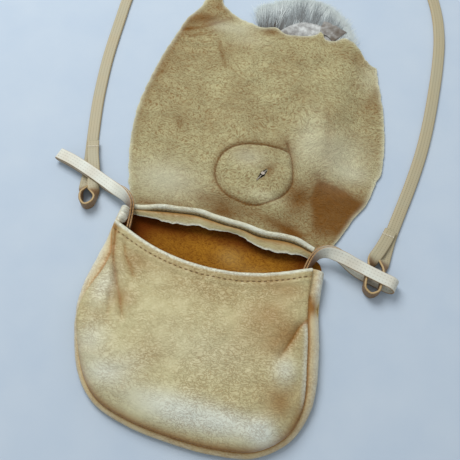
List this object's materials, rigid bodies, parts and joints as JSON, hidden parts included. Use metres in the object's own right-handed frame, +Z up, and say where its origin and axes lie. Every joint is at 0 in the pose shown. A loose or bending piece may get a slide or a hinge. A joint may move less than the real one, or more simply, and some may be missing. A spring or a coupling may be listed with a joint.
{
  "type": "shoulder pouch",
  "caption": "Soft leather shoulder pouch lying on its back, its suede flap with fur on the outer side thrown open, a long strap looped through two folded tabs.",
  "frame": {"origin": "middle of the pouch's back panel, on the face that it rests on", "axes": "+X along the mouth, from the left tab to the right tab, +Y from the round bottom to the mouth and on over the open flap, +Z up from the surface it lies on"},
  "size_m": [0.3048, 0.5401, 0.0203],
  "materials": {
    "grain_leather": "semi-gloss grain, pale tan",
    "gusset_leather": "tan leather, raw edges",
    "back_leather": "tan leather, napped golden brown inside",
    "suede": "napped suede",
    "fur": "grey fur, white tips and brown roots",
    "strap_leather": "pale beige, rows of fine stitches",
    "tab_leather": "cream leather",
    "metal": "dull dark metal"
  },
  "bodies": {
    "pouch_body": {"back_panel": "back_leather", "front_panel": "grain_leather", "gusset": "gusset_leather", "left_tab": "tab_leather", "right_tab": "tab_leather", "shoulder_strap": "strap_leather"},
    "flap_body": {"flap": "suede", "fur_pelt": "fur", "button": "metal", "button_pin": "metal"}
  },
  "joints": [
    {"name": "flap_hinge", "type": "hinge", "parent": "pouch_body", "child": "flap_body", "pos_m": [0, 0.086, 0.0125], "axis": [1, 0, 0], "range_deg": [0, 174]}
  ]
}
